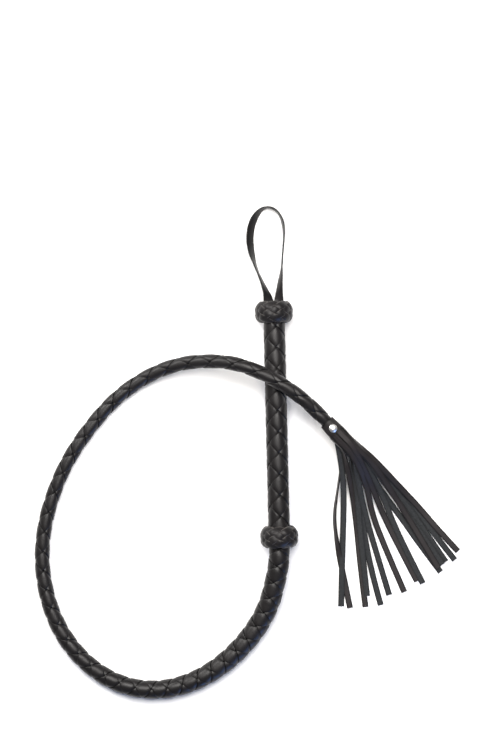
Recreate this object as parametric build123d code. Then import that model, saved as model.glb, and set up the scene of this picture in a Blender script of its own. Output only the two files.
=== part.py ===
from build123d import *
import math
import os

# A plaited leather whip laid on a flat surface: a braided grip between two Turk's head
# knots, a wrist strap, a long tapering thong that curls round and over the grip, and a
# fringe riveted to the thong's tip. Millimetres. The origin is under the middle of the
# grip on the surface, +Y runs along the grip towards the wrist strap, and +Z is up.

# Grip
GRIP_RADIUS = 10.4
CORE_RADIUS = 7.4
CORE_HALF_LENGTH = 116.0
LACE_THICKNESS = 1.45
LACES_EACH_WAY = 3
LACE_GAP_DEGREES = 3.0
LACE_HALF_LENGTH = 115.0
PLAIT_PITCH = 63.0
LAYER_CLEARANCE = 0.05

# Knots
KNOT_RADIUS = 19.0
KNOT_WEB = 4.5
KNOT_LENGTH = 22.0
KNOT_CENTRE = 112.0
KNOT_END_RADIUS = 15.5
BASE_WALL_START = 117.2
BASE_END = 121.5
BINDING_RADIUS = 11.1
BINDING_START = 104.0
BINDING_END = 112.0
AXIS_HEIGHT = KNOT_RADIUS

# Wrist strap
STRAP_WIDTH = 10.0
STRAP_THICKNESS = 1.3
STRAP_SLOT = 2 * STRAP_THICKNESS + 0.1
STRAP_INNER_END = 103.0
STRAP_ROOT_END = 126.4
STRAP_HINGE = 127.3
STRAP_FAR_HEIGHT = 5.3
STRAP_NECK = 1.0
STRAP_NECK_START = 129.1
STRAP_NECK_END = 136.0
TACK_RADIUS = 0.8
TACK_HEAD_RADIUS = 1.9
TACK_PLACES = (107.0, 111.5)
LOOP_POINTS = [
    (-5.5, 127.3), (-10.0, 140.0), (-16.5, 156.0), (-21.5, 173.0), (-22.5, 190.0),
    (-18.5, 206.0), (-8.5, 218.0), (3.5, 217.0), (11.0, 206.0), (12.5, 190.0),
    (10.4, 172.0), (8.8, 155.0), (6.8, 140.0), (5.5, 127.3),
]

# Thong: a point of the route, and the plait's outer radius there
THONG_ROUTE = [
    ((0.0, -134.0, 19.0), 10.6),
    ((-5.0, -157.0, 16.6), 10.6),
    ((-13.0, -184.5, 12.6), 10.6),
    ((-31.0, -212.5, 10.8), 10.5),
    ((-57.0, -238.0, 10.4), 10.2),
    ((-89.0, -256.5, 10.0), 9.8),
    ((-125.0, -264.5, 9.6), 9.3),
    ((-161.0, -258.5, 9.2), 9.0),
    ((-193.0, -239.0, 8.8), 8.6),
    ((-217.5, -210.0, 8.5), 8.3),
    ((-232.0, -177.0, 8.2), 7.9),
    ((-238.5, -141.0, 7.8), 7.6),
    ((-237.0, -106.0, 7.6), 7.4),
    ((-228.5, -72.0, 7.5), 7.3),
    ((-213.0, -36.0, 7.4), 7.2),
    ((-190.5, -2.5, 7.4), 7.2),
    ((-160.5, 30.5, 7.4), 7.2),
    ((-127.0, 52.5, 10.0), 7.1),
    ((-94.0, 63.5, 19.0), 7.1),
    ((-63.0, 65.0, 30.0), 7.1),
    ((-38.0, 61.5, 38.6), 7.1),
    ((-15.0, 52.3, 40.4), 7.1),
    ((6.0, 40.3, 40.4), 7.1),
    ((26.0, 25.5, 38.0), 7.0),
    ((43.0, 8.9, 31.0), 7.0),
    ((59.7, -9.5, 31.0), 7.0),
]
CORE_SHARE = 0.6
ARC_SHARE = 0.45

# Fringe
BAND_RADIUS = 7.7
BAND_FLAT = 6.9
BAND_LENGTH = 15.0
BAND_GAP = 0.7
TIP_CORE_RADIUS = CORE_SHARE * 7.0
RIVET_BACK_FROM_END = 6.2
RIVET_CAP_RADIUS = 4.0
RIVET_CAP_HEIGHT = 1.6
RIVET_POST_RADIUS = 1.5
STRIP_WIDTH = 6.0
STRIP_THICKNESS = 1.2
STRIP_START = 3.4
STRIP_SPREAD = 0.8
STRIP_LAYER = 1.6
STRIP_REST = 0.7
# Each strip's end on the surface, with its layer in the bundle, further out, and at its end
STRIP_ENDS = [
    (60.5, -186.0, 2, 1), (70.0, -187.5, 0, 0), (85.0, -186.0, 1, 0), (87.0, -176.0, 3, 1),
    (100.5, -184.5, 2, 0), (109.5, -175.5, 0, 0), (124.5, -172.0, 1, 0),
    (137.5, -161.5, 3, 1), (146.0, -162.5, 2, 0), (162.0, -153.5, 0, 0),
    (159.5, -148.5, 1, 1), (164.0, -146.0, 3, 2), (167.5, -143.5, 2, 1),
    (176.0, -141.0, 0, 0), (180.0, -133.0, 1, 1),
]
BUNDLE_END = 32.0
FALL_END = 68.0
FALL_HEIGHT = 5.0
REST_START = 90.0
SETTLE_START = 97.0
SETTLE_END = 120.0

GRIP_AXIS = Plane(origin=(0, 0, AXIS_HEIGHT), x_dir=(1, 0, 0), z_dir=(0, 1, 0))
os.makedirs("parts", exist_ok=True)


def save(solid, name):
    solid.label = name
    export_step(solid, os.path.join("parts", name + ".step"))


def along_grip(start, end, radius):
    """A round bar on the grip's axis, between two places along it."""
    place = GRIP_AXIS.offset(start)
    return Solid.make_cylinder(radius, end - start, plane=place)


def turned(profile):
    """A ring turned about the grip's axis from its (radius, place) outline."""
    points = [(radius, place, AXIS_HEIGHT) for radius, place in profile]
    outline = Face(Wire.make_polygon([Vector(*point) for point in points], close=True))
    return Solid.revolve(outline, 360, Axis((0, 0, AXIS_HEIGHT), (0, 1, 0)))


# --- the grip's dowel, its plait and the whippings -----------------------------------

def tack(place):
    """One tack, through both strap ends and most of the dowel."""
    depth = CORE_RADIUS - 1.6
    shank = Pos(0, place, AXIS_HEIGHT - depth) * Cylinder(
        TACK_RADIUS, 2 * depth, align=(Align.CENTER, Align.CENTER, Align.MIN))
    head = Pos(0, place, AXIS_HEIGHT + depth) * Cylinder(
        TACK_HEAD_RADIUS, 0.8, align=(Align.CENTER, Align.CENTER, Align.MIN))
    return shank + head


def tack_hole(place):
    """The hole that a tack fills, with the pocket over its head."""
    depth = CORE_RADIUS - 1.6
    bore = Pos(0, place, AXIS_HEIGHT - depth) * Cylinder(
        TACK_RADIUS, 2 * depth, align=(Align.CENTER, Align.CENTER, Align.MIN))
    pocket = Pos(0, place, AXIS_HEIGHT + depth) * Cylinder(
        TACK_HEAD_RADIUS, CORE_RADIUS, align=(Align.CENTER, Align.CENTER, Align.MIN))
    return bore + pocket


def handle_core():
    dowel = along_grip(-CORE_HALF_LENGTH, CORE_HALF_LENGTH, CORE_RADIUS)
    slot_length = CORE_HALF_LENGTH - STRAP_INNER_END + 0.1
    slot_middle = CORE_HALF_LENGTH - slot_length / 2
    slot = Pos(0, slot_middle + 0.1, AXIS_HEIGHT) * Box(
        2 * CORE_RADIUS + 1, slot_length + 0.2, STRAP_SLOT)
    dowel -= slot
    for place in TACK_PLACES:
        dowel -= tack_hole(place)
    return dowel


def lace(number, direction, inner):
    """A band wound round the dowel; its three neighbours fill the rest of the turn."""
    outer = inner + LACE_THICKNESS
    sweep_angle = 360 / LACES_EACH_WAY - LACE_GAP_DEGREES
    start = number * 360 / LACES_EACH_WAY
    line_in = CenterArc((0, 0), inner, start, sweep_angle)
    line_out = CenterArc((0, 0), outer, start, sweep_angle)
    sides = [Line(line_in @ 0, line_out @ 0), Line(line_in @ 1, line_out @ 1)]
    section = make_face([line_in, line_out] + sides)
    length = 2 * LACE_HALF_LENGTH
    place = GRIP_AXIS.offset(-LACE_HALF_LENGTH)
    turn = direction * 360 * length / PLAIT_PITCH
    return Solid.extrude_linear_with_rotation(
        (place * section).face(), place.origin, place.z_dir * length, turn)


def save_handle_laces():
    inner = CORE_RADIUS + LAYER_CLEARANCE
    outer = inner + LACE_THICKNESS + LAYER_CLEARANCE
    for number in range(LACES_EACH_WAY):
        save(lace(number, 1, inner), "handle_lace_%d" % (number + 1))
        save(lace(number, -1, outer), "handle_lace_%d" % (number + 1 + LACES_EACH_WAY))


def binding(end):
    """A whipping of waxed thread round the lace ends; end is 1 at the strap."""
    start, stop = sorted((end * BINDING_START, end * BINDING_END))
    ring = along_grip(start, stop, BINDING_RADIUS)
    return ring - along_grip(start, stop, GRIP_RADIUS + LAYER_CLEARANCE)


# --- the knots ------------------------------------------------------------------------

def knot(end):
    """A Turk's head as one domed ring that fits on its foundation."""
    half = KNOT_LENGTH / 2
    inner = KNOT_RADIUS - KNOT_WEB
    low = end * KNOT_CENTRE - half
    high = end * KNOT_CENTRE + half
    profile = [
        (inner, low), (KNOT_END_RADIUS, low), (KNOT_RADIUS - 0.9, low + 3.5),
        (KNOT_RADIUS, low + 8), (KNOT_RADIUS, high - 8), (KNOT_RADIUS - 0.9, high - 3.5),
        (KNOT_END_RADIUS, high), (inner, high),
    ]
    return turned(profile)


def knot_base(end):
    """The foundation ring with its end wall, grooved for the whipping."""
    radius = KNOT_RADIUS - KNOT_WEB - LAYER_CLEARANCE
    start, stop = sorted((end * (KNOT_CENTRE - KNOT_LENGTH / 2 + 0.5), end * BASE_END))
    body = along_grip(start, stop, radius)
    hollow = sorted((end * 90.0, end * BASE_WALL_START))
    body -= along_grip(hollow[0], hollow[1], GRIP_RADIUS + 2 * LAYER_CLEARANCE)
    groove = sorted((end * (BINDING_START - 0.1), end * (BINDING_END + 0.1)))
    body -= along_grip(groove[0], groove[1], BINDING_RADIUS + 2 * LAYER_CLEARANCE)
    return body


def pommel_knot_base():
    """Its end wall has the slit that the strap comes out of."""
    slit = Pos(0, BASE_END, AXIS_HEIGHT) * Box(22, 12, STRAP_SLOT + 0.2)
    return knot_base(1) - slit


def collar_knot_base():
    """Its end wall is open round the thong's root."""
    stop = -BASE_WALL_START + 1
    return knot_base(-1) - along_grip(-BASE_END - 1, stop, GRIP_RADIUS + LAYER_CLEARANCE)


# --- the wrist strap ------------------------------------------------------------------

def strap_end(side):
    """One strap end: in the slot it lies on the other, outside it lies beside it."""
    half = STRAP_WIDTH / 2
    shift = side * (half + 0.3)
    outline = [
        (-half, STRAP_INNER_END), (half, STRAP_INNER_END), (half, 114.0),
        (half + shift, 122.0), (half + shift, STRAP_ROOT_END),
        (-half + shift, STRAP_ROOT_END), (-half + shift, 122.0), (-half, 114.0),
    ]
    bottom = AXIS_HEIGHT if side < 0 else AXIS_HEIGHT - STRAP_THICKNESS
    face = make_face(Polyline(*outline, close=True))
    return extrude(Pos(0, 0, bottom) * face, STRAP_THICKNESS, dir=(0, 0, 1))


def strap_root():
    ends = strap_end(-1) + strap_end(1)
    for place in TACK_PLACES:
        ends -= tack_hole(place)
    return ends


def bend_radii(points):
    """Each corner's radius, as large as its two runs allow."""
    radii = []
    for before, corner, after in zip(points, points[1:], points[2:]):
        turn = (corner - before).get_angle(after - corner)
        reach = ARC_SHARE * min((corner - before).length, (after - corner).length)
        radii.append(reach / math.tan(math.radians(turn) / 2))
    return radii


def neck_cut(side):
    """What the strap loses above or below its neck, so that it can swing up."""
    deep = side * STRAP_WIDTH
    outline = [
        (STRAP_HINGE - 2, side * STRAP_NECK / 2), (STRAP_NECK_START, side * STRAP_NECK / 2),
        (STRAP_NECK_END, side * (STRAP_WIDTH / 2 + 0.5)), (STRAP_NECK_END, deep),
        (STRAP_HINGE - 2, deep),
    ]
    points = [Vector(0, place, AXIS_HEIGHT + height) for place, height in outline]
    face = Face(Wire.make_polygon(points, close=True))
    return extrude(face, 2 * STRAP_WIDTH, dir=(1, 0, 0), both=True)


def wrist_loop():
    """The free loop on edge, in a plane that falls from the pommel to the surface."""
    fall = AXIS_HEIGHT - STRAP_FAR_HEIGHT
    length = LOOP_POINTS[6][1] - STRAP_HINGE
    tilt = Plane(origin=(0, STRAP_HINGE, AXIS_HEIGHT), x_dir=(1, 0, 0),
                 z_dir=Vector(0, fall, length))
    points = [Vector(x, y - STRAP_HINGE) for x, y in LOOP_POINTS]
    line = FilletPolyline(*points, radius=bend_radii(points))
    print("wrist loop length %.1f" % line.length)
    band = trace(line, line_width=STRAP_THICKNESS)
    loop = extrude(tilt * band, STRAP_WIDTH / 2, both=True)
    return loop - neck_cut(1) - neck_cut(-1)


# --- the thong ------------------------------------------------------------------------

def taper(start, end, radii):
    """A straight bar from one radius to another, which may be the same."""
    direction = end - start
    place = Plane(origin=start, z_dir=direction)
    if radii[0] == radii[1]:
        return Solid.make_cylinder(radii[0], direction.length, plane=place)
    return Solid.make_cone(radii[0], radii[1], direction.length, plane=place)


def ring_run(start, end, outer, inner):
    """A straight, tapering run of tube; outer and inner are pairs of radii."""
    run = taper(start, end, outer)
    if inner:
        run -= taper(start, end, inner)
    return run


def ring_bend(start, tangent, end, outer, inner):
    """A bend of tube of one size, along the arc that leaves the run before it."""
    arc = Edge.make_tangent_arc(start, tangent, end)
    place = Plane(origin=start, z_dir=tangent)
    section = Circle(outer)
    if inner:
        section -= Circle(inner)
    return sweep(place * section, path=arc), arc.length


def tube(points, outers, inners):
    """A tapering tube of straight runs and tangent arcs, and its section times length."""
    pieces = []
    expected = 0.0
    here = points[0]
    for index in range(1, len(points)):
        last = index == len(points) - 1
        before = (points[index] - points[index - 1]).normalized()
        reach = 0.0
        if not last:
            run = (points[index] - points[index - 1]).length
            reach = ARC_SHARE * min(run, (points[index + 1] - points[index]).length)
        stop = points[index] - before * reach
        outer = (outers[index - 1], outers[index])
        inner = (inners[index - 1], inners[index]) if inners else None
        pieces.append(ring_run(here, stop, outer, inner))
        bore = inners[index] if inners else 0
        area = math.pi * (outers[index] ** 2 - bore ** 2)
        expected += area * (stop - here).length
        here = stop
        if not last:
            after = (points[index + 1] - points[index]).normalized()
            bend_end = points[index] + after * reach
            bend, length = ring_bend(stop, before, bend_end, outers[index], bore)
            pieces.append(bend)
            expected += area * length
            here = bend_end
    return pieces, expected


def joined(pieces):
    """The pieces of a tube, which meet face to face, as one solid."""
    first = pieces[0].solid()
    return first.fuse(*[piece.solid() for piece in pieces[1:]]).solid()


def save_thong():
    points = [Vector(*point) for point, radius in THONG_ROUTE]
    outers = [radius for point, radius in THONG_ROUTE]
    inners = [radius * CORE_SHARE for radius in outers]
    print("thong radii", ["%.0f" % radius for radius in bend_radii(points)])
    core_pieces, core_volume = tube(points, inners, None)
    core = joined(core_pieces)
    print("core volume %.0f, section x length %.0f" % (core.volume, core_volume))
    save(core - rivet_bar(RIVET_POST_RADIUS), "thong_core")
    band_start = points[-1] - tip_direction() * (BAND_LENGTH + BAND_GAP)
    sleeve_points = points[:-1] + [band_start]
    sleeve_pieces, sleeve_volume = tube(sleeve_points, outers, inners)
    round_end = Solid.make_sphere(
        outers[0], plane=Plane(origin=points[0], z_dir=points[0] - points[1]),
        angle1=0, angle2=90)
    sleeve = joined(sleeve_pieces + [round_end])
    print("sleeve volume %.0f, section x length %.0f" % (sleeve.volume, sleeve_volume))
    save(sleeve, "thong_plait")


def thong_root():
    """The stub of the thong between the dowel's end and the collar's face."""
    return along_grip(-KNOT_CENTRE - KNOT_LENGTH / 2, -CORE_HALF_LENGTH - 0.1, GRIP_RADIUS)


# --- the fringe -----------------------------------------------------------------------

def tip_end():
    return Vector(*THONG_ROUTE[-1][0])


def tip_direction():
    return (tip_end() - Vector(*THONG_ROUTE[-2][0])).normalized()


def tip_plane(back):
    """A plane across the thong's tip, this far before its end, with its x upward."""
    place = tip_end() - tip_direction() * back
    return Plane(origin=place, x_dir=(0, 0, 1), z_dir=tip_direction())


def rivet_plane(height):
    place = tip_end() - tip_direction() * RIVET_BACK_FROM_END
    return Plane(origin=place + Vector(0, 0, height), z_dir=(0, 0, 1))


def rivet_bar(radius):
    return Solid.make_cylinder(radius, 2 * BAND_FLAT, plane=rivet_plane(-BAND_FLAT))


def fringe_band():
    """The rolled band, squeezed flat above and below by the rivet."""
    roll = Solid.make_cylinder(BAND_RADIUS, BAND_LENGTH, plane=tip_plane(BAND_LENGTH))
    middle = tip_plane(BAND_LENGTH / 2)
    roll = roll & (middle * Box(2 * BAND_FLAT, 4 * BAND_RADIUS, 2 * BAND_LENGTH))
    bore = Solid.make_cylinder(
        TIP_CORE_RADIUS + LAYER_CLEARANCE, 2 * BAND_LENGTH, plane=tip_plane(1.5 * BAND_LENGTH))
    return roll - bore - rivet_bar(RIVET_POST_RADIUS)


def rivet_head(side):
    """A domed cap that sits on the band's flat; side is 1 above and -1 below."""
    dome_radius = (RIVET_CAP_RADIUS ** 2 + RIVET_CAP_HEIGHT ** 2) / (2 * RIVET_CAP_HEIGHT)
    base = rivet_plane(side * BAND_FLAT).origin
    centre = base + Vector(0, 0, side * (RIVET_CAP_HEIGHT - dome_radius))
    ball = Solid.make_sphere(dome_radius, plane=Plane(centre))
    up = Plane(origin=base, z_dir=(0, 0, side))
    return ball & Solid.make_cylinder(RIVET_CAP_RADIUS + 1, 3 * RIVET_CAP_HEIGHT, plane=up)


def strip_profile(number, length, spread_layer, end_layer):
    """The strip's line from the bundle to the surface, as distance and height."""
    bundle_layer = 2 * spread_layer + (number // 4) % 2
    bundle = tip_end().Z + STRIP_LAYER * (bundle_layer - 3.5)
    low = STRIP_REST + STRIP_LAYER * spread_layer
    lowest = STRIP_REST + STRIP_LAYER * end_layer
    points = [(0.0, bundle), (BUNDLE_END, bundle)]
    points.append((FALL_END, FALL_HEIGHT + STRIP_LAYER * spread_layer))
    points.append((REST_START, low))
    if end_layer != spread_layer:
        points += [(SETTLE_START, low), (SETTLE_END, lowest)]
    points.append((length, lowest))
    return points


def fringe_strip(number):
    end_x, end_y, spread_layer, end_layer = STRIP_ENDS[number]
    forward = tip_direction()
    sideways = Vector(-forward.Y, forward.X, 0)
    offset = STRIP_SPREAD * (number - (len(STRIP_ENDS) - 1) / 2)
    root = tip_end() + forward * STRIP_START + sideways * offset
    path = Vector(end_x - root.X, end_y - root.Y, 0)
    profile = strip_profile(number, path.length, spread_layer, end_layer)
    line = FilletPolyline(*profile, radius=9)
    band = trace(line, line_width=STRIP_THICKNESS)
    upright = Plane(origin=(root.X, root.Y, 0), x_dir=path, z_dir=path.cross(Vector(0, 0, 1)))
    return extrude(upright * band, STRIP_WIDTH / 2, both=True), line.length


def save_strips():
    for number in range(len(STRIP_ENDS)):
        strip, length = fringe_strip(number)
        print("strip %02d length %.1f" % (number + 1, length))
        save(strip, "fringe_strip_%02d" % (number + 1))


save(handle_core(), "handle_core")
save_handle_laces()
save(binding(1), "pommel_binding")
save(binding(-1), "collar_binding")
save(knot(1), "pommel_knot")
save(knot(-1), "collar_knot")
save(pommel_knot_base(), "pommel_knot_base")
save(collar_knot_base(), "collar_knot_base")
save(strap_root(), "strap_root")
save(Compound(children=[tack(place) for place in TACK_PLACES]), "strap_tacks")
save(wrist_loop(), "wrist_loop")
save(thong_root(), "thong_root")
save_thong()
save(fringe_band(), "fringe_band")
save(rivet_head(1), "rivet_cap")
save(rivet_head(-1), "rivet_back")
save(rivet_bar(RIVET_POST_RADIUS), "rivet_post")
save_strips()
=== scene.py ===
import math

import bpy
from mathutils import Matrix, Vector


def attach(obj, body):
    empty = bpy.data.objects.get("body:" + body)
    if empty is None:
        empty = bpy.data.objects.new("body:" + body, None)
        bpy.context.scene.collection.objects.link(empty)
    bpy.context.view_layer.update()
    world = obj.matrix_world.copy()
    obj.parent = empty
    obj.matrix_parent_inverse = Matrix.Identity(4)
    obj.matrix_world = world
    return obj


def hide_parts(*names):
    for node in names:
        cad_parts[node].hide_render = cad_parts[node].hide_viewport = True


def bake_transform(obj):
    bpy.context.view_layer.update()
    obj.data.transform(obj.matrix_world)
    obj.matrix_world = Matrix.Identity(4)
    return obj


# A plaited leather whip lying in a loop: a braided grip between two woven knots, a wrist
# strap, a tapering thong that curls round and over the grip, and a riveted fringe.
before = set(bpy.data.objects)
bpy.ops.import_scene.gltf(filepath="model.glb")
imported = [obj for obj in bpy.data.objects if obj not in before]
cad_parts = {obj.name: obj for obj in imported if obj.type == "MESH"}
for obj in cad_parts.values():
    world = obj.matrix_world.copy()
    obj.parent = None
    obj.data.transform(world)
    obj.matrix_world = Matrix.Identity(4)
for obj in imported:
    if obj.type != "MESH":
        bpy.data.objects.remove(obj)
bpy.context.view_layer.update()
MM = 0.001


# --- the white table, the light and the camera ----------------------------------------
# The whip lies on a plain white table, lit by two soft windows and a weak blue glow low to
# the right. The camera looks straight down, from where its view is 750 mm tall.
VIEW_HEIGHT = 0.75
LENS = 100.0
SENSOR = 36.0
VIEW_CENTRE = (-0.0253, 0.0498)
VIEW_ROLL = math.radians(-1.384)
EYE_LEVEL = 0.012
TABLE_REACH = 6.0


def add_camera():
    data = bpy.data.cameras.new("camera")
    data.lens = LENS
    data.sensor_width = SENSOR
    data.clip_end = 20
    camera = bpy.data.objects.new("camera", data)
    camera.location = (*VIEW_CENTRE, EYE_LEVEL + VIEW_HEIGHT * LENS / SENSOR)
    camera.rotation_euler = (0, 0, VIEW_ROLL)
    bpy.context.collection.objects.link(camera)
    bpy.context.scene.camera = camera


def add_light(name, place, size, power, colour):
    """A soft square light that faces the whip."""
    data = bpy.data.lights.new(name, "AREA")
    data.shape = "RECTANGLE"
    data.size, data.size_y = size
    data.energy = power
    data.color = colour
    light = bpy.data.objects.new(name, data)
    light.location = place
    light.rotation_euler = (-Vector(place)).to_track_quat("-Z", "Y").to_euler()
    bpy.context.collection.objects.link(light)


def new_material(name):
    """An empty material, with its nodes, links and Principled shader."""
    material = bpy.data.materials.new(name)
    material.use_nodes = True
    nodes = material.node_tree.nodes
    return material, nodes, material.node_tree.links, nodes["Principled BSDF"]


def add_table():
    material, _, _, shader = new_material("table_white")
    shader.inputs["Base Color"].default_value = (0.92, 0.92, 0.92, 1)
    shader.inputs["Roughness"].default_value = 0.8
    mesh = bpy.data.meshes.new("table_top")
    corners = [(TABLE_REACH * side, TABLE_REACH * end, 0)
               for side, end in ((-1, -1), (1, -1), (1, 1), (-1, 1))]
    mesh.from_pydata(corners, [], [(0, 1, 2, 3)])
    mesh.materials.append(material)
    table = bpy.data.objects.new("table_top", mesh)
    bpy.context.collection.objects.link(table)


def add_sky():
    world = bpy.data.worlds.new("white_room")
    world.use_nodes = True
    background = world.node_tree.nodes["Background"]
    background.inputs["Color"].default_value = (0.95, 0.97, 1.0, 1)
    background.inputs["Strength"].default_value = 0.1
    bpy.context.scene.world = world


add_camera()
add_light("window", place=(0.05, 0.5, 1.7), size=(1.3, 1.0), power=56, colour=(1.0, 0.97, 0.94))
add_light("side_window", place=(-1.25, 1.15, 1.05), size=(0.8, 0.8), power=34,
          colour=(1.0, 0.98, 0.96))
add_light("blue_fill", place=(0.7, -1.2, 0.3), size=(0.7, 0.3), power=8, colour=(0.22, 0.42, 1.0))
add_table()
add_sky()
bpy.context.scene.view_settings.view_transform = "Standard"


# --- the thong's line -----------------------------------------------------------------
# The thong leaves the collar, curls round to the left along the table, climbs over the
# grip and ends just past it. Each place is in millimetres, with the thong's radius there,
# and the points only pull the line towards them, as they would a cord.
THONG_STUB = ((0.0, -116.0, 19.0), 10.3)
THONG_ROUTE = [
    ((0.0, -134.0, 19.0), 10.6),
    ((-5.0, -157.0, 16.6), 10.6),
    ((-13.0, -184.5, 12.6), 10.6),
    ((-31.0, -212.5, 10.8), 10.5),
    ((-57.0, -238.0, 10.4), 10.2),
    ((-89.0, -256.5, 10.0), 9.8),
    ((-125.0, -264.5, 9.6), 9.3),
    ((-161.0, -258.5, 9.2), 9.0),
    ((-193.0, -239.0, 8.8), 8.6),
    ((-217.5, -210.0, 8.5), 8.3),
    ((-232.0, -177.0, 8.2), 7.9),
    ((-238.5, -141.0, 7.8), 7.6),
    ((-237.0, -106.0, 7.6), 7.4),
    ((-228.5, -72.0, 7.5), 7.3),
    ((-213.0, -36.0, 7.4), 7.2),
    ((-190.5, -2.5, 7.4), 7.2),
    ((-160.5, 30.5, 7.4), 7.2),
    ((-127.0, 52.5, 10.0), 7.1),
    ((-94.0, 63.5, 18.0), 7.1),
    ((-63.0, 65.0, 28.0), 7.1),
    ((-38.0, 61.5, 36.0), 7.1),
    ((-15.0, 52.3, 38.0), 7.1),
    ((6.0, 40.3, 38.0), 7.1),
    ((26.0, 25.5, 36.5), 7.0),
    ((43.0, 8.9, 31.0), 7.0),
    ((59.7, -9.5, 31.0), 7.0),
]
LINE_STEP = 1.0 * MM
BAND_LENGTH = 15.0 * MM
# The plait thins just before the band grips it, to these radii
TIP_TAPER = 5.0 * MM
BAND_START_RADIUS = 6.1 * MM
TIP_RADIUS = 5.8 * MM


def smooth_line(points):
    """The smooth line that a route's points pull a cord into, in even steps."""
    curve = bpy.data.curves.new("route", "CURVE")
    curve.dimensions = "3D"
    spline = curve.splines.new("NURBS")
    spline.points.add(len(points) - 1)
    for control, point in zip(spline.points, points):
        control.co = (*point, 1.0)
    spline.order_u = 3
    spline.use_endpoint_u = True
    spline.resolution_u = 24
    holder = bpy.data.objects.new("route", curve)
    mesh = bpy.data.meshes.new_from_object(holder)
    rough = [vertex.co.copy() for vertex in mesh.vertices]
    bpy.data.meshes.remove(mesh)
    bpy.data.objects.remove(holder)
    bpy.data.curves.remove(curve)
    return even_steps(rough, LINE_STEP)


def even_steps(rough, step):
    """The same line in points that stand an even step apart."""
    reach = [0.0]
    for before, after in zip(rough, rough[1:]):
        reach.append(reach[-1] + (after - before).length)
    count = max(2, round(reach[-1] / step))
    line = []
    place = 0
    for number in range(count + 1):
        wanted = reach[-1] * number / count
        while place < len(rough) - 2 and reach[place + 1] < wanted:
            place += 1
        span = max(reach[place + 1] - reach[place], 1e-9)
        line.append(rough[place].lerp(rough[place + 1], (wanted - reach[place]) / span))
    return line


def line_length(line):
    return sum((after - before).length for before, after in zip(line, line[1:]))


class Route:
    """A line with its own left, right and top, and a radius that changes along it."""

    def __init__(self, line, radii):
        self.line = line
        self.length = line_length(line)
        self.radii = radii
        self.tangents = []
        for number in range(len(line)):
            before = line[max(number - 1, 0)]
            after = line[min(number + 1, len(line) - 1)]
            self.tangents.append((after - before).normalized())

    def at(self, distance):
        """The centre, right and top directions, and radius at a distance along the line."""
        place = min(max(distance / self.length, 0.0), 1.0) * (len(self.line) - 1)
        low = min(int(place), len(self.line) - 2)
        part = place - low
        centre = self.line[low].lerp(self.line[low + 1], part)
        tangent = self.tangents[low].lerp(self.tangents[low + 1], part).normalized()
        right = tangent.cross(Vector((0, 0, 1))).normalized()
        top = right.cross(tangent)
        return centre, right, top, interpolate(self.radii, distance)


def interpolate(table, place):
    """The value at a place in a table of (place, value) pairs."""
    if place <= table[0][0]:
        return table[0][1]
    for (low, low_value), (high, high_value) in zip(table, table[1:]):
        if place <= high:
            return low_value + (high_value - low_value) * (place - low) / (high - low)
    return table[-1][1]


def route_radii(controls, line):
    """Where along the line each control point's radius holds."""
    table = []
    start = 0
    for place, radius in controls:
        point = Vector(place) * MM
        nearest = min(range(start, len(line)), key=lambda n: (line[n] - point).length)
        distance = line_length(line[:nearest + 1])
        if not table or distance > table[-1][0]:
            table.append((distance, radius * MM))
        start = nearest
    return table


thong_controls = [THONG_STUB] + THONG_ROUTE
thong_line = smooth_line([Vector(place) * MM for place, radius in thong_controls])
thong = Route(thong_line, route_radii(thong_controls, thong_line))
tip_end = thong_line[-1]
tip_direction = (Vector(THONG_ROUTE[-1][0]) - Vector(THONG_ROUTE[-2][0])).normalized()
band_start = thong.length - BAND_LENGTH
thong.radii[-1] = (band_start - TIP_TAPER, thong.radii[-1][1])
thong.radii += [(band_start, BAND_START_RADIUS), (thong.length, TIP_RADIUS)]


# --- black leather --------------------------------------------------------------------
# Drum-dyed cowhide: a fine pebbled grain, slow changes of tone, and edges of another tone:
# rubbed pale on the knots, which is wear, darker on the strap's edges, and near-black along
# the plait's laces and the fringe's strips, which is painted shade in the gaps between them.
# Each piece carries a value from 0 on its flats to 1 along its edges.
def new_group(name, inputs, outputs):
    """An empty node group with named number inputs and its outputs."""
    group = bpy.data.node_groups.new(name, "ShaderNodeTree")
    for label, value in inputs:
        socket = group.interface.new_socket(label, in_out="INPUT", socket_type="NodeSocketFloat")
        socket.default_value = value
    for label, kind in outputs:
        group.interface.new_socket(label, in_out="OUTPUT", socket_type=kind)
    return group, group.nodes.new("NodeGroupInput"), group.nodes.new("NodeGroupOutput")


def math_node(nodes, links, operation, first, second):
    node = nodes.new("ShaderNodeMath")
    node.operation = operation
    for socket, value in zip(node.inputs, (first, second)):
        if isinstance(value, (int, float)):
            socket.default_value = value
        else:
            links.new(value, socket)
    return node.outputs[0]


def leather_grain_group():
    """Pebbles between fine creases, and a slow patchiness, both from 0 to 1."""
    group, entry, leave = new_group(
        "leather_grain", [("Pebbles per metre", 900.0), ("Patches per metre", 60.0)],
        [("Height", "NodeSocketFloat"), ("Patches", "NodeSocketFloat")])
    nodes, links = group.nodes, group.links
    where = nodes.new("ShaderNodeTexCoord").outputs["Object"]
    pebbles = nodes.new("ShaderNodeTexVoronoi")
    pebbles.feature = "SMOOTH_F1"
    links.new(where, pebbles.inputs["Vector"])
    links.new(entry.outputs[0], pebbles.inputs["Scale"])
    creases = nodes.new("ShaderNodeTexNoise")
    creases.inputs["Detail"].default_value = 5
    links.new(where, creases.inputs["Vector"])
    links.new(math_node(nodes, links, "MULTIPLY", entry.outputs[0], 0.45), creases.inputs["Scale"])
    patches = nodes.new("ShaderNodeTexNoise")
    patches.inputs["Detail"].default_value = 3
    links.new(where, patches.inputs["Vector"])
    links.new(entry.outputs[1], patches.inputs["Scale"])
    rounded = math_node(nodes, links, "MULTIPLY", pebbles.outputs["Distance"], -0.7)
    height = math_node(nodes, links, "ADD", rounded, creases.outputs["Fac"])
    links.new(height, leave.inputs["Height"])
    links.new(patches.outputs["Fac"], leave.inputs["Patches"])
    return group


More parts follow.
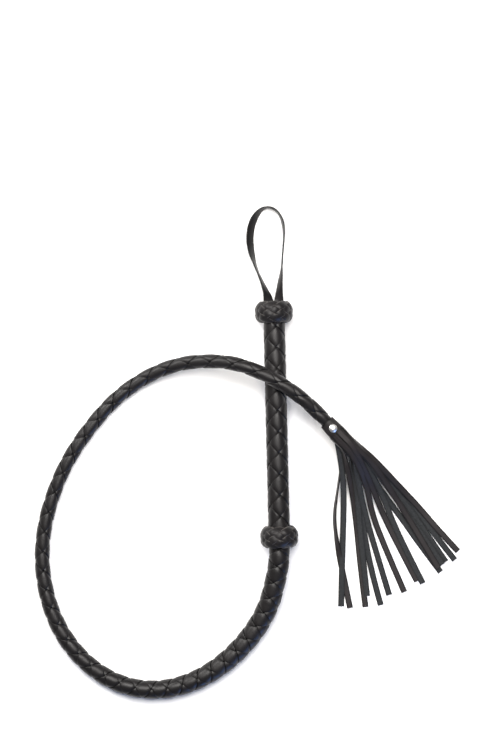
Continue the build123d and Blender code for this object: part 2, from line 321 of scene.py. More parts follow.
def edge_wear_and_shade_group():
    """Where a piece shows its edge tone (wear on the knots, painted shade between laces and
    strips): along its edges, broken up by a coarse noise.
    """
    group, entry, leave = new_group(
        "edge_wear_and_shade", [("Edge strength", 0.5)], [("Mask", "NodeSocketFloat")])
    nodes, links = group.nodes, group.links
    edge_mask = nodes.new("ShaderNodeAttribute")
    edge_mask.attribute_name = "edge_mask"
    noise = nodes.new("ShaderNodeTexNoise")
    noise.inputs["Scale"].default_value = 260
    noise.inputs["Detail"].default_value = 4
    links.new(nodes.new("ShaderNodeTexCoord").outputs["Object"], noise.inputs["Vector"])
    broken = math_node(nodes, links, "MULTIPLY", edge_mask.outputs["Fac"], noise.outputs["Fac"])
    mask = math_node(nodes, links, "MULTIPLY", broken, entry.outputs["Edge strength"])
    links.new(math_node(nodes, links, "MULTIPLY", mask, 2.0), leave.inputs["Mask"])
    return group


leather_grain = leather_grain_group()
edge_wear_and_shade = edge_wear_and_shade_group()


def mixed_colour(nodes, links, mask, first, second):
    mix = nodes.new("ShaderNodeMix")
    mix.data_type = "RGBA"
    links.new(mask, mix.inputs["Factor"])
    for socket, colour in zip((mix.inputs[6], mix.inputs[7]), (first, second)):
        if isinstance(colour, tuple):
            socket.default_value = (*colour, 1)
        else:
            links.new(colour, socket)
    return mix.outputs[2]


def add_bump(nodes, links, shader, height, strength, depth):
    bump = nodes.new("ShaderNodeBump")
    bump.inputs["Strength"].default_value = strength
    bump.inputs["Distance"].default_value = depth
    links.new(height, bump.inputs["Height"])
    links.new(bump.outputs["Normal"], shader.inputs["Normal"])


def spread(nodes, links, value, centre, width):
    """A value from 0 to 1, moved to lie this far about a centre."""
    scaled = math_node(nodes, links, "MULTIPLY", value, width)
    return math_node(nodes, links, "ADD", scaled, centre - width / 2)


def leather(name, dark, light, edge_tone, roughness, edge_strength, grain=900.0, bump=0.12, sheen=0.0,
            gloss=0.17, patches=60.0):
    """A black leather: two close tones, an edge tone, grain, and its own gloss."""
    material, nodes, links, shader = new_material(name)
    hide = nodes.new("ShaderNodeGroup")
    hide.node_tree = leather_grain
    hide.inputs["Pebbles per metre"].default_value = grain
    hide.inputs["Patches per metre"].default_value = patches
    edge = nodes.new("ShaderNodeGroup")
    edge.node_tree = edge_wear_and_shade
    edge.inputs["Edge strength"].default_value = edge_strength
    tone = mixed_colour(nodes, links, hide.outputs["Patches"], dark, light)
    colour = mixed_colour(nodes, links, edge.outputs["Mask"], tone, edge_tone)
    links.new(colour, shader.inputs["Base Color"])
    rough = spread(nodes, links, hide.outputs["Patches"], roughness, 0.24)
    links.new(rough, shader.inputs["Roughness"])
    add_bump(nodes, links, shader, hide.outputs["Height"], strength=bump, depth=0.4 * MM)
    shader.inputs["Specular IOR Level"].default_value = gloss
    shader.inputs["Sheen Weight"].default_value = sheen
    shader.inputs["Sheen Roughness"].default_value = 0.45
    return material


# --- the plaits -----------------------------------------------------------------------
# Flat laces wound both ways, each passing over one and under the next. The plait is laid
# out on a grid: "lane" numbers the laces that turn to the right as they advance, and
# "rung" those that turn to the left, so they cross where both are whole numbers.
LACE_THICKNESS = 1.25 * MM
LACE_RISE = 0.8 * MM
LACE_WIDTH_SHARE = 0.945
STEPS_A_CROSSING = 8
# How quickly a lace changes from over to under, and how uneven the hand plaiting is
SWITCH = 2.4
RIPPLE = 0.1 * MM
CUT_EDGE = math.radians(62)
LACE_CROWN = 0.63
# A lace's outline: each place across and through it, as shares, and its edge value
LACE_SECTION = [
    (-0.5, -0.35, 1.0), (-0.5, 0.12, 1.0), (-0.488, 0.34, 1.0), (-0.462, 0.45, 0.4),
    (-0.39, 0.54, 0.0), (-0.2, 0.61, 0.0), (0.0, LACE_CROWN, 0.0), (0.2, 0.61, 0.0),
    (0.39, 0.54, 0.0), (0.462, 0.45, 0.4), (0.488, 0.34, 1.0), (0.5, 0.12, 1.0),
    (0.5, -0.35, 1.0), (0.45, -0.5, 0.5), (0.0, -0.5, 0.0), (-0.45, -0.5, 0.5),
]

# Its edge tone is near-black: painted shade in the gaps between the laces.
plait_leather = leather("plait_leather", (0.0065, 0.006, 0.0063), (0.0125, 0.0112, 0.0115),
                        (0.0015, 0.0014, 0.0016), roughness=0.4, edge_strength=0.9, gloss=0.24)


def square_wave(place):
    """Near 1 at even whole numbers and near -1 at odd ones, with a quick smooth change."""
    return math.tanh(SWITCH * math.cos(math.pi * place)) / math.tanh(SWITCH)


def section_edge_masks(section):
    return [edge_mask for across, height, edge_mask in section]


def ribbon_mesh(name, rings, edge_masks, material):
    """A closed band from its rings of points, with the edge value of each point round one ring."""
    size = len(rings[0])
    points = [point for ring in rings for point in ring]
    faces = []
    for number in range(len(rings) - 1):
        base = number * size
        for side in range(size):
            after = (side + 1) % size
            faces.append((base + side, base + after, base + size + after, base + size + side))
    faces.append(tuple(range(size - 1, -1, -1)))
    faces.append(tuple(range(len(points) - size, len(points))))
    return skin(name, points, faces, edge_masks * len(rings), material)


def skin(name, points, faces, edge_masks, material):
    """A piece from its points and faces, smooth but for its cut edges."""
    mesh = bpy.data.meshes.new(name)
    mesh.from_pydata(points, [], faces)
    mesh.materials.append(material)
    attribute = mesh.attributes.new("edge_mask", "FLOAT", "POINT")
    attribute.data.foreach_set("value", edge_masks)
    mesh.shade_smooth()
    mesh.set_sharp_from_angle(angle=CUT_EDGE)
    mesh.update()
    piece = bpy.data.objects.new(name, mesh)
    bpy.context.collection.objects.link(piece)
    return piece


class Plait:
    """A round plait of laces along a route; spacing is the length of one crossing."""

    def __init__(self, route, laces_each_way, spacing, turn, first_row=0.0):
        self.route = route
        self.laces = laces_each_way
        self.turn = turn
        self.rows = [(0.0, first_row)]
        for distance in range(1, round(route.length / LINE_STEP) + 1):
            here = distance * LINE_STEP
            step = LINE_STEP / interpolate(spacing, here)
            self.rows.append((here, self.rows[-1][1] + step))

    def row(self, distance):
        return self.rows[min(round(distance / LINE_STEP), len(self.rows) - 1)][1]

    def distance(self, row):
        """How far along the route a row of crossings is."""
        place = min(max(row, self.rows[0][1]), self.rows[-1][1])
        low, high = 0, len(self.rows) - 1
        while high - low > 1:
            middle = (low + high) // 2
            if self.rows[middle][1] <= place:
                low = middle
            else:
                high = middle
        part = (place - self.rows[low][1]) / (self.rows[high][1] - self.rows[low][1])
        return self.rows[low][0] + part * LINE_STEP

    def point(self, lane, rung, height):
        """A point on the plait, this high above the middle of its two layers."""
        angle = math.pi * (lane + rung) / self.laces + self.turn
        distance = self.distance((rung - lane) / 2)
        centre, right, top, radius = self.route.at(distance)
        out = right * math.sin(angle) + top * math.cos(angle)
        middle = radius - LACE_THICKNESS * LACE_CROWN - LACE_RISE
        ripple = RIPPLE * math.sin(2.3 * lane + 1.1 * rung) * math.sin(0.37 * rung)
        return centre + out * (middle + height + ripple)

    def lace_rings(self, number, to_right, first_row, last_row):
        """One lace's rings of points from one row of crossings to another."""
        rings = []
        steps = round(2 * (last_row - first_row) * STEPS_A_CROSSING)
        side = 1 if to_right else -1
        for step in range(steps + 1):
            along = number + side * (2 * first_row + step / STEPS_A_CROSSING)
            over = (1 if number % 2 == 0 else -1) * square_wave(along)
            lift = side * over * LACE_RISE
            ring = []
            for across, height, edge_mask in LACE_SECTION:
                own = number + across * LACE_WIDTH_SHARE
                lane, rung = (own, along) if to_right else (along, own)
                ring.append(self.point(lane, rung, lift + height * LACE_THICKNESS))
            rings.append(ring)
        return rings


LACE_EDGE_MASKS = section_edge_masks(LACE_SECTION)


# --- the handle -----------------------------------------------------------------------
# A hardwood dowel in a round plait of six laces, three wound each way, pulled tight and
# whipped with waxed thread at both ends, where the knots cover it.
HANDLE_SPACING = 21.0 * MM
HANDLE_LACES = 3
GRIP_END = 116.0 * MM
GRIP_RADIUS = 10.95 * MM
GRIP_HEIGHT = 19.0 * MM
HANDLE_TURN = math.radians(10)
# The laces run between these rows of crossings; row 0 lies this far from the grip's middle
HANDLE_ROWS = (-5.5, 5.2)
PLAIT_SHIFT = 3.3 * MM


def straight_line(start, end, steps):
    return [start.lerp(end, number / steps) for number in range(steps + 1)]


def finish_node(node, material):
    """Gives a carried-over part its finish."""
    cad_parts[node].data.materials.clear()
    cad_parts[node].data.materials.append(material)


def hardwood():
    """Hardwood near-black as painted shade where it shows between the laces, with a fine grain that
    runs along the grip.
    """
    material, nodes, links, shader = new_material("hardwood")
    stretch = nodes.new("ShaderNodeMapping")
    stretch.inputs["Scale"].default_value = (900, 40, 900)
    links.new(nodes.new("ShaderNodeTexCoord").outputs["Object"], stretch.inputs["Vector"])
    fibres = nodes.new("ShaderNodeTexNoise")
    fibres.inputs["Scale"].default_value = 1.0
    fibres.inputs["Detail"].default_value = 4
    links.new(stretch.outputs["Vector"], fibres.inputs["Vector"])
    # Both tones near-black: painted shade where the core shows in the gaps between the laces.
    colour = mixed_colour(nodes, links, fibres.outputs["Fac"],
                          (0.012, 0.009, 0.007), (0.03, 0.022, 0.017))
    links.new(colour, shader.inputs["Base Color"])
    add_bump(nodes, links, shader, fibres.outputs["Fac"], strength=0.2, depth=0.2 * MM)
    shader.inputs["Roughness"].default_value = 0.55
    return material


def waxed_thread():
    """Black linen thread laid turn against turn, pulled tight and waxed."""
    material, nodes, links, shader = new_material("waxed_thread")
    turns = nodes.new("ShaderNodeTexWave")
    turns.bands_direction = "Y"
    turns.inputs["Scale"].default_value = 330
    turns.inputs["Distortion"].default_value = 0.4
    links.new(nodes.new("ShaderNodeTexCoord").outputs["Object"], turns.inputs["Vector"])
    # Lighter on each turn's crown and darker in the groove beside the next: painted shade between
    # the turns.
    colour = mixed_colour(nodes, links, turns.outputs["Fac"],
                          (0.01, 0.01, 0.01), (0.05, 0.05, 0.05))
    links.new(colour, shader.inputs["Base Color"])
    add_bump(nodes, links, shader, turns.outputs["Fac"], strength=0.7, depth=0.4 * MM)
    shader.inputs["Roughness"].default_value = 0.5
    return material


grip_line = straight_line(Vector((0, -GRIP_END, GRIP_HEIGHT)), Vector((0, GRIP_END, GRIP_HEIGHT)),
                          round(2 * GRIP_END / LINE_STEP))
grip = Route(grip_line, [(0.0, GRIP_RADIUS)])
grip_plait = Plait(grip, HANDLE_LACES, [(0.0, HANDLE_SPACING)], HANDLE_TURN,
                   first_row=-(GRIP_END + PLAIT_SHIFT) / HANDLE_SPACING)
for number in range(HANDLE_LACES):
    for to_right in (True, False):
        rings = grip_plait.lace_rings(number, to_right, *HANDLE_ROWS)
        name = "handle_lace_%s_%d" % ("right" if to_right else "left", number + 1)
        lace = ribbon_mesh(name, rings, LACE_EDGE_MASKS, plait_leather)
        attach(lace, "handle")
        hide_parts("handle_lace_%d" % (number + 1 + (0 if to_right else HANDLE_LACES)))
finish_node("handle_core", hardwood())
thread = waxed_thread()
finish_node("pommel_binding", thread)
finish_node("collar_binding", thread)


# --- the two knots --------------------------------------------------------------------
# A Turk's head at each end of the grip: one long lace that goes five times round and
# turns back eight times at each rim, over one and under the next, on a soft leather base.
KNOT_TURNS = 5
KNOT_BIGHTS = 8
KNOT_SWAY = 7.2 * MM
KNOT_LACE = 7.3 * MM
KNOT_THICKNESS = 1.35 * MM
KNOT_RISE = 0.72 * MM
KNOT_RADIUS = 17.45 * MM
KNOT_SHOULDER = 4.6 * MM
KNOT_HALF_LENGTH = 11.0 * MM
KNOT_CENTRE = 112.0 * MM
KNOT_RINGS = 800
BASE_SIDES = 48
# The pad's outline, in millimetres along the grip and out from its middle
BASE_OUTLINE = [
    (-10.2, 10.6), (-9.8, 12.0), (-8.0, 13.9), (-5.0, 14.9), (0.0, 15.2), (5.0, 14.9),
    (7.6, 14.0), (9.2, 12.3), (9.5, 10.0), (9.5, 0.05),
]

knot_leather = leather("knot_leather", (0.0075, 0.007, 0.0075), (0.017, 0.0155, 0.016),
                       (0.11, 0.1, 0.092), roughness=0.4, edge_strength=0.6)
lining_leather = leather("lining_leather", (0.003, 0.0028, 0.0028), (0.006, 0.0055, 0.0055),
                         (0.02, 0.018, 0.017), roughness=0.7, edge_strength=0.0)


def passes_over():
    """The places where the knot's lace crosses itself, each over (1) or under (-1)."""
    crossings = KNOT_TURNS * KNOT_BIGHTS
    places = []
    for number in range(1, 2 * crossings):
        if number % KNOT_TURNS:
            sign = -1 if (number - number // KNOT_TURNS) % 2 else 1
            places.append((number * math.pi / crossings, sign))
    first, last = places[0], places[-1]
    around = 2 * math.pi
    return [(last[0] - around, last[1])] + places + [(first[0] + around, first[1])]


def knot_lift(places, turn):
    """How far over or under the lace lies: a smooth swing between its crossings."""
    for (low, low_sign), (high, high_sign) in zip(places, places[1:]):
        if turn <= high:
            part = min(max((turn - low) / (high - low), 0.0), 1.0)
            return low_sign + (high_sign - low_sign) * part * part * (3 - 2 * part)
    return places[-1][1]


def knot_point(around, along, height, centre):
    """A point of the knot, from its place on the knot's unrolled skin."""
    angle = around / KNOT_RADIUS
    radius = KNOT_RADIUS + height
    radius -= KNOT_SHOULDER * min(abs(along) / KNOT_HALF_LENGTH, 1.0) ** 3
    return Vector((radius * math.sin(angle), centre + along,
                   GRIP_HEIGHT + radius * math.cos(angle)))


def knot_rings(centre):
    places = passes_over()
    rings = []
    for number in range(KNOT_RINGS):
        turn = 2 * math.pi * number / KNOT_RINGS
        around = KNOT_TURNS * turn * KNOT_RADIUS
        along = KNOT_SWAY * math.cos(KNOT_BIGHTS * turn)
        forward = Vector((KNOT_TURNS * KNOT_RADIUS,
                          -KNOT_BIGHTS * KNOT_SWAY * math.sin(KNOT_BIGHTS * turn))).normalized()
        across = Vector((-forward.y, forward.x))
        lift = KNOT_RISE * knot_lift(places, turn)
        ring = []
        for side, height, edge_mask in LACE_SECTION:
            shift = across * side * KNOT_LACE
            ring.append(knot_point(around + shift.x, along + shift.y,
                                   lift + height * KNOT_THICKNESS, centre))
        rings.append(ring)
    return rings


def closed_ribbon(name, rings, edge_masks, material):
    """A band whose two ends meet."""
    size = len(rings[0])
    faces = []
    for number in range(len(rings)):
        base, next_base = number * size, (number + 1) % len(rings) * size
        for side in range(size):
            after = (side + 1) % size
            faces.append((base + side, base + after, next_base + after, next_base + side))
    return skin(name, [point for ring in rings for point in ring], faces,
                edge_masks * len(rings), material)


def turned_base(name, end):
    """The soft leather pad that the lace is worked over; it rounds in at both rims."""
    points = []
    for along, radius in BASE_OUTLINE:
        for number in range(BASE_SIDES):
            angle = 2 * math.pi * number / BASE_SIDES
            points.append(Vector((radius * math.sin(angle), 0, radius * math.cos(angle))) * MM
                          + Vector((0, end * (KNOT_CENTRE + along * MM), GRIP_HEIGHT)))
    rows = [points[number:number + BASE_SIDES] for number in range(0, len(points), BASE_SIDES)]
    return ribbon_mesh(name, rows, [0.0] * BASE_SIDES, lining_leather)


for end, name in ((1, "pommel_knot"), (-1, "collar_knot")):
    knot = closed_ribbon(name + "_lace", knot_rings(end * KNOT_CENTRE), LACE_EDGE_MASKS, knot_leather)
    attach(knot, "handle")
    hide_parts(name)
    base = turned_base(name + "_pad", end)
    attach(base, "handle")
    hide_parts(name + "_base")


# --- the wrist strap ------------------------------------------------------------------
# A strap folded into a loop: its two ends lie flat on each other in the pommel, nailed to
# the dowel with two tacks, and the loop turns on edge and rests on the table.
STRAP_WIDTH = 10.0 * MM
STRAP_THICKNESS = 1.3 * MM
STRAP_POINTS = [
    (0.0, 103.5, 19.65), (0.0, 114.0, 19.65), (-5.3, 121.5, 19.65), (-5.5, 127.3, 19.5),
    (-10.0, 140.0, 17.0), (-16.5, 156.0, 13.0), (-21.5, 173.0, 9.0), (-22.5, 190.0, 6.5),
    (-18.5, 206.0, 5.3), (-8.5, 218.0, 5.2), (3.5, 217.0, 5.2), (11.0, 206.0, 5.4),
    (12.5, 190.0, 6.5), (10.4, 172.0, 9.0), (8.8, 155.0, 12.5), (6.8, 140.0, 16.5),
    (5.5, 127.3, 18.4), (5.3, 121.5, 18.35), (0.0, 114.0, 18.35), (0.0, 103.5, 18.35),
]
# How far the strap is turned on edge, in degrees, at each share of its length
STRAP_TURNS = [
    (0.0, 0), (0.065, 0), (0.09, -25), (0.121, -56), (0.16, -72), (0.206, -80), (0.245, -75),
    (0.28, -58), (0.33, -47), (0.38, -45), (0.43, -49), (0.465, -66), (0.5, -85), (0.55, -86),
    (0.6, -79), (0.66, -86), (0.73, -88), (0.785, -85), (0.815, -74), (0.865, -57),
    (0.9, -40), (0.935, -12), (0.955, 0), (1.0, 0),
]
STRAP_SECTION = [
    (-0.5, -0.25, 0.9), (-0.5, 0.25, 1.0), (-0.485, 0.42, 0.9), (-0.44, 0.5, 0.4),
    (0.0, 0.54, 0.0), (0.44, 0.5, 0.4), (0.485, 0.42, 0.9), (0.5, 0.25, 1.0),
    (0.5, -0.25, 0.9), (0.47, -0.46, 0.4), (0.0, -0.5, 0.0), (-0.47, -0.46, 0.4),
]
strap_leather = leather("strap_leather", (0.008, 0.0075, 0.0082), (0.016, 0.0148, 0.0155),
                        (0.004, 0.004, 0.004), roughness=0.42, edge_strength=0.6)


def eased(table, place):
    """The value at a place in a table, with a soft change between its rows."""
    for (low, low_value), (high, high_value) in zip(table, table[1:]):
        if place <= high:
            part = max((place - low) / (high - low), 0.0)
            return low_value + (high_value - low_value) * part * part * (3 - 2 * part)
    return table[-1][1]


def flat_rings(line, width, thickness, section, roll):
    """A flat strip's rings along a line; roll gives its turn, in radians, at each share."""
    route = Route(line, [(0.0, 0.0)])
    rings = []
    for number in range(len(line)):
        share = number / (len(line) - 1)
        centre, right, top, radius = route.at(share * route.length)
        turn = roll(share)
        across = right * math.cos(turn) + top * math.sin(turn)
        out = top * math.cos(turn) - right * math.sin(turn)
        rings.append([centre + across * side * width + out * height * thickness
                      for side, height, edge_mask in section])
    return rings


strap_line = smooth_line([Vector(point) * MM for point in STRAP_POINTS])
strap_rings = flat_rings(strap_line, STRAP_WIDTH, STRAP_THICKNESS, STRAP_SECTION,
                         lambda share: math.radians(interpolate(STRAP_TURNS, share)))
strap = ribbon_mesh("wrist_strap", strap_rings, section_edge_masks(STRAP_SECTION), strap_leather)
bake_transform(strap)
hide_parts("wrist_loop", "strap_root")


def metal(name, colour, roughness):
    """A metal with faint handling marks."""
    material, nodes, links, shader = new_material(name)
    marks = nodes.new("ShaderNodeTexNoise")
    marks.inputs["Scale"].default_value = 700
    marks.inputs["Detail"].default_value = 3
    links.new(nodes.new("ShaderNodeTexCoord").outputs["Object"], marks.inputs["Vector"])
    worn = tuple(0.82 * part for part in colour)
    tone = mixed_colour(nodes, links, marks.outputs["Fac"], worn, colour)
    links.new(tone, shader.inputs["Base Color"])
    rough = spread(nodes, links, marks.outputs["Fac"], roughness, 0.16)
    links.new(rough, shader.inputs["Roughness"])
    shader.inputs["Metallic"].default_value = 1.0
    return material


finish_node("strap_tacks", metal("tack_steel", (0.45, 0.44, 0.43), 0.4))


# --- the thong ------------------------------------------------------------------------
# Four laces, two wound each way, over a leather core that tapers from the collar to the
# tip. It bends where it leaves the collar, so its first stretch is made apart there.
THONG_SPACING = [
    (0.0, 16.5 * MM), (200 * MM, 16.0 * MM), (330 * MM, 18.0 * MM), (480 * MM, 21.0 * MM),
    (650 * MM, 22.8 * MM), (830 * MM, 24.0 * MM),
]
THONG_LACES = 2
THONG_TURN = math.radians(12)
FIRST_ROW = 0.3
# How far the laces reach in under the band, and the core stops short of each end
LACE_TUCK = 4.0 * MM
CORE_INSET = 0.5 * MM
ROOT_LENGTH = 32.0 * MM
CORE_DEPTH = 2.5 * MM
CORE_STEP = 3.0 * MM
CORE_SIDES = 20


def core_tube(name, start, end):
    """The round core under the laces, between two distances along the thong."""
    rings = []
    steps = max(2, round((end - start) / CORE_STEP))
    for number in range(steps + 1):
        centre, right, top, radius = thong.at(start + (end - start) * number / steps)
        radius -= CORE_DEPTH
        rings.append([centre + (right * math.sin(angle) + top * math.cos(angle)) * radius
                      for angle in (2 * math.pi * side / CORE_SIDES for side in range(CORE_SIDES))])
    return ribbon_mesh(name, rings, [0.0] * CORE_SIDES, lining_leather)


thong_plait = Plait(thong, THONG_LACES, THONG_SPACING, THONG_TURN)
root_row = thong_plait.row(ROOT_LENGTH)
last_row = thong_plait.row(band_start + LACE_TUCK)
root_pieces = [core_tube("thong_core_root", CORE_INSET, ROOT_LENGTH)]
thong_pieces = [core_tube("thong_core_lace", ROOT_LENGTH, thong.length - CORE_INSET)]
for number in range(THONG_LACES):
    for to_right in (True, False):
        name = "thong_lace_%s_%d" % ("right" if to_right else "left", number + 1)
        rings = thong_plait.lace_rings(number, to_right, FIRST_ROW, last_row)
        cut = round(2 * (root_row - FIRST_ROW) * STEPS_A_CROSSING)
        root_pieces.append(ribbon_mesh(name + "_root", rings[:cut + 1], LACE_EDGE_MASKS, plait_leather))
        thong_pieces.append(ribbon_mesh(name, rings[cut:], LACE_EDGE_MASKS, plait_leather))
for piece in root_pieces:
    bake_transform(piece)
    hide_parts("thong_root")
for piece in thong_pieces:
    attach(piece, "thong")
    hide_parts("thong_core" if piece is thong_pieces[0] else "thong_plait")


# --- the rolled band and its rivet ----------------------------------------------------
# The fringe's uncut edge is rolled a little over twice round the thong's tip, glued, and
# pinned by a nickel rivet with a domed head above and below.
BAND_INNER = 4.9 * MM
BAND_OUTER = 7.35 * MM
BAND_TURNS = 2.3
BAND_EDGE = math.radians(42)
BAND_THICKNESS = 1.1 * MM
BAND_FLAT = 6.9 * MM
# The rivet flattens the roll by this share, and it spreads by these at its two ends
BAND_SQUASH = 0.13
BAND_SPREAD_START = 0.06
BAND_SPREAD_END = 0.2
BAND_RINGS = 150
RIVET_BACK = 6.2 * MM
# Half of a head's outline, in millimetres out from its middle and above its rim
RIVET_HEAD = [
    (0.0, 1.62), (1.0, 1.55), (1.9, 1.33), (2.7, 0.98), (3.35, 0.55), (3.75, 0.2), (3.95, 0.12),
    (4.05, 0.0), (4.0, -0.2), (3.6, -1.0), (0.0, -1.0),
]
RIVET_MIDDLE = 0.02
RIVET_SIDES = 40
tip_side = Vector((0, 0, 1)).cross(tip_direction).normalized()
rivet_centre = tip_end - tip_direction * RIVET_BACK

# Both leathers take a darker tone along the strips' edges: painted shade in the gaps between the
# strips.
fringe_smooth = leather("fringe_smooth", (0.013, 0.0113, 0.0118), (0.025, 0.0215, 0.0215),
                        (0.003, 0.003, 0.003), roughness=0.5, edge_strength=0.9)
fringe_suede = leather("fringe_suede", (0.008, 0.0088, 0.0094), (0.04, 0.042, 0.043),
                       (0.005, 0.005, 0.005), roughness=0.9, edge_strength=0.9, grain=1500.0, bump=0.7,
                       sheen=0.1, patches=650.0)


def squeezed(point, share):
    """A place in the roll, flattened by the rivet; it is widest where the strips leave."""
    spread_here = BAND_SPREAD_START + (BAND_SPREAD_END - BAND_SPREAD_START) * share
    sideways = point.dot(tip_side)
    return point + tip_side * sideways * spread_here + Vector((0, 0, -BAND_SQUASH * point.z))


def roll_place(share):
    """The direction from the roll's middle, and the radius, at a share of its turns."""
    angle = BAND_EDGE - 2 * math.pi * BAND_TURNS * (1 - share)
    radius = BAND_INNER + (BAND_OUTER - BAND_INNER) * share
    return angle, radius


def band_rings():
    """The roll, from its inner end outward."""
    rings = []
    for number in range(BAND_RINGS + 1):
        share = number / BAND_RINGS
        angle, radius = roll_place(share)
        out = tip_side * math.sin(angle) + Vector((0, 0, 1)) * math.cos(angle)
        ring = []
        for side, height, edge_mask in STRAP_SECTION:
            point = squeezed(out * (radius + height * BAND_THICKNESS), side + 0.5)
            ring.append(tip_end + tip_direction * (side - 0.5) * BAND_LENGTH + point)
        rings.append(ring)
    return rings


def rivet_head(name, side):
    """A domed head turned from its outline; side is 1 above the band and -1 below it."""
    points = []
    for radius, height in RIVET_HEAD:
        out = max(radius, RIVET_MIDDLE) * MM
        for number in range(RIVET_SIDES):
            angle = 2 * math.pi * number / RIVET_SIDES
            points.append(rivet_centre + Vector((out * math.cos(angle), out * math.sin(angle),
                                                 side * (BAND_FLAT + height * MM))))
    faces = []
    for row in range(len(RIVET_HEAD) - 1):
        for number in range(RIVET_SIDES):
            after = (number + 1) % RIVET_SIDES
            base, below = row * RIVET_SIDES, (row + 1) * RIVET_SIDES
            faces.append((base + number, below + number, below + after, base + after)[::side])
    faces.append(tuple(range(RIVET_SIDES))[::side])
    last = (len(RIVET_HEAD) - 1) * RIVET_SIDES
    faces.append(tuple(range(last + RIVET_SIDES - 1, last - 1, -1))[::side])
    return skin(name, points, faces, [0.0] * len(points), nickel)


nickel = metal("nickel", (0.97, 0.96, 0.94), 0.42)
band = ribbon_mesh("rolled_band", band_rings(), section_edge_masks(STRAP_SECTION), fringe_smooth)
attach(band, "thong")
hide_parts("fringe_band")
for side, node in ((1, "rivet_cap"), (-1, "rivet_back")):
    head = rivet_head(node + "_dome", side)
    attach(head, "thong")
    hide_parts(node)
finish_node("rivet_post", nickel)


# --- the fringe -----------------------------------------------------------------------
# Fifteen strips cut from the same piece as the band. They leave the roll where it is cut,
# drop to the table over each other and fan out, some with their rough side up.
STRIP_WIDTH = 6.0 * MM
STRIP_THICKNESS = 1.1 * MM
STRIP_INSIDE = 0.4 * MM
STRIP_STRAIGHT = 5.0 * MM
STRIP_PITCH = 5.9 * MM
STRIP_SECTION = [
    (-0.5, -0.3, 0.8), (-0.5, 0.3, 1.0), (-0.48, 0.47, 0.5), (-0.24, 0.5, 0.0), (0.0, 0.5, 0.0),
    (0.24, 0.5, 0.0), (0.48, 0.47, 0.5), (0.5, 0.3, 1.0), (0.5, -0.3, 0.8), (0.48, -0.47, 0.5),
    (0.24, -0.5, 0.0), (0.0, -0.5, 0.0), (-0.24, -0.5, 0.0), (-0.48, -0.47, 0.5),
]
# Each strip: its number in the roll, counted from the roll's inner end, how it is turned
# once it hangs free, and its places on the way down.
SMOOTH_UP = 0
ROUGH_LEFT = -180
ROUGH_RIGHT = 180
ON_EDGE = -78
HALF_ON_EDGE = -62
# A strip that leaves the roll this far round turns the short way to its rough side
FAR_ROUND = 120
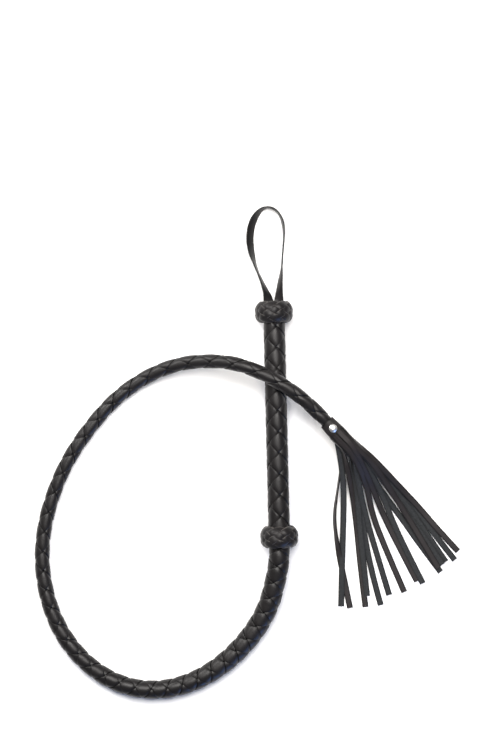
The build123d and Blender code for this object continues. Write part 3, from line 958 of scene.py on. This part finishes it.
# The first side of a strip's outline that belongs to its rough face
ROUGH_SIDE = 8
STRIPS = [
    (10, ROUGH_LEFT, [(60.5, -20, 25), (62.5, -33, 20), (65, -51, 12), (65.8, -72, 5.4),
                      (65, -98, 2.3), (62.4, -144, 2.4), (60.6, -185.8, 0.7)]),
    (11, ON_EDGE, [(59, -19, 24.5), (61.5, -32, 17), (62.5, -50, 9), (59.5, -69, 4.4),
                   (55.5, -93, 3.9), (57.3, -117, 3), (61.8, -144, 0.9), (69.8, -187.7, 0.7)]),
    (12, SMOOTH_UP, [(65.5, -26.5, 30), (69.5, -44, 18.5), (74.5, -70, 6), (78, -102, 0.8),
                     (81, -145, 0.7), (85.1, -186, 0.7)]),
    (5, ROUGH_LEFT, [(68.7, -28.3, 30.5), (75.5, -45.5, 20), (79.5, -68, 8.4),
                     (80.5, -98, 3.0), (84, -140, 2.4), (87.1, -176, 0.9)]),
    (0, ROUGH_LEFT, [(70.1, -27, 31.5), (76.5, -47, 18), (80.5, -71, 6), (84.5, -106, 1.1),
                     (92.4, -153, 0.8), (100.5, -184.5, 0.7)]),
    (6, ROUGH_LEFT, [(70.1, -27, 33), (78, -46, 21.5), (82.3, -71, 10), (86.5, -90, 3),
                     (91.5, -110, 0.9), (100.5, -143, 0.8), (109.5, -175.5, 0.7)]),
    (13, SMOOTH_UP, [(70.7, -26.5, 36.8), (81, -43.5, 26.5), (89, -65, 11.5),
                     (94, -94, 3.0), (109, -134, 0.9), (124.5, -172, 0.7)]),
    (14, SMOOTH_UP, [(74.8, -22.8, 37), (85, -43.5, 25), (95, -67, 10), (104.6, -93, 2.4),
                     (120, -126, 0.9), (137.5, -161.5, 0.7)]),
    (3, ROUGH_RIGHT, [(74.2, -23.3, 30), (90.5, -45, 20.5), (100, -64.5, 9), (106.8, -79, 3.6),
                      (114, -100, 2.6), (126.4, -128.6, 2.4), (143.2, -163.5, 1.6)]),
    (4, ROUGH_LEFT, [(72, -25.3, 28.6), (88, -44, 14.5), (98.5, -62, 6), (107, -74, 2.2),
                     (114.5, -85, 0.9), (125, -100, 0.8), (141.5, -125, 0.8), (162, -153.5, 0.7)]),
    (7, SMOOTH_UP, [(75.7, -21.9, 35.3), (96, -42, 23.5), (112, -68, 11.5), (127.5, -93, 4.8),
                    (145, -123.5, 3.2), (159.2, -148.8, 2.1)]),
    (1, ROUGH_RIGHT, [(76.1, -21.6, 31), (95.5, -45, 21), (112, -69, 9.5),
                      (130.5, -95.5, 3.4), (148, -120.5, 2.1), (164.2, -145.8, 2.1)]),
    (2, ROUGH_RIGHT, [(77.2, -20.6, 29.5), (97.5, -44, 19.2), (115.5, -67, 7.5),
                      (134, -91.5, 2.1), (150.9, -118, 0.8), (167.5, -143.5, 0.7)]),
    (9, ROUGH_RIGHT, [(77.5, -20.3, 28), (98.5, -43, 17.5), (119, -65.5, 5.5),
                      (138.4, -88.4, 0.8), (156.6, -115.5, 0.8), (176, -141, 0.7)]),
    (8, SMOOTH_UP, [(78.3, -19.6, 31.5), (101, -42.5, 21.5), (121.5, -65.5, 9),
                    (140.6, -86.4, 2.4), (160.2, -110.8, 2.1), (180, -133, 0.8)]),
]


def slot_share(number):
    """The share of the roll's turns at which a strip leaves it."""
    wanted = (number + 0.5) * STRIP_PITCH
    covered = 0.0
    for step in range(BAND_RINGS):
        share = step / BAND_RINGS
        covered += roll_place(share)[1] * 2 * math.pi * BAND_TURNS / BAND_RINGS
        if covered >= wanted:
            return share
    return 1.0


def strip_piece(name, slot_number, end_turn, places):
    """One strip, from its slot in the roll to its end on the table."""
    angle, radius = roll_place(slot_share(slot_number))
    slot_turn = (math.degrees(angle) + 180) % 360 - 180
    if end_turn == ROUGH_RIGHT and slot_turn < -FAR_ROUND:
        slot_turn += 360
    if end_turn == ROUGH_LEFT and slot_turn > FAR_ROUND:
        slot_turn -= 360
    slot = tip_side * math.sin(angle) + Vector((0, 0, 1)) * math.cos(angle)
    slot = squeezed(slot * radius, 1.0)
    points = [tip_end - tip_direction * STRIP_INSIDE + slot,
              tip_end + tip_direction * STRIP_STRAIGHT + slot]
    points += [Vector(place) * MM for place in places]
    line = smooth_line(points)
    if end_turn == ON_EDGE:
        turns = [(0.0, slot_turn), (0.1, slot_turn), (0.3, ON_EDGE), (0.55, HALF_ON_EDGE),
                 (0.8, SMOOTH_UP), (1.0, SMOOTH_UP)]
    else:
        turns = [(0.0, slot_turn), (0.04, slot_turn), (0.34, end_turn), (1.0, end_turn)]
    rings = flat_rings(line[::2], STRIP_WIDTH, STRIP_THICKNESS, STRIP_SECTION,
                       lambda share: math.radians(eased(turns, share)))
    strip = ribbon_mesh(name, rings, section_edge_masks(STRIP_SECTION), fringe_smooth)
    strip.data.materials.append(fringe_suede)
    size = len(STRIP_SECTION)
    for face in strip.data.polygons[:-2]:
        if face.index % size >= ROUGH_SIDE:
            face.material_index = 1
    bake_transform(strip)
    return strip


for number, (slot_number, end_turn, places) in enumerate(STRIPS):
    strip = strip_piece("cut_strip_%02d" % (number + 1), slot_number, end_turn, places)
    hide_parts("fringe_strip_%02d" % (number + 1))
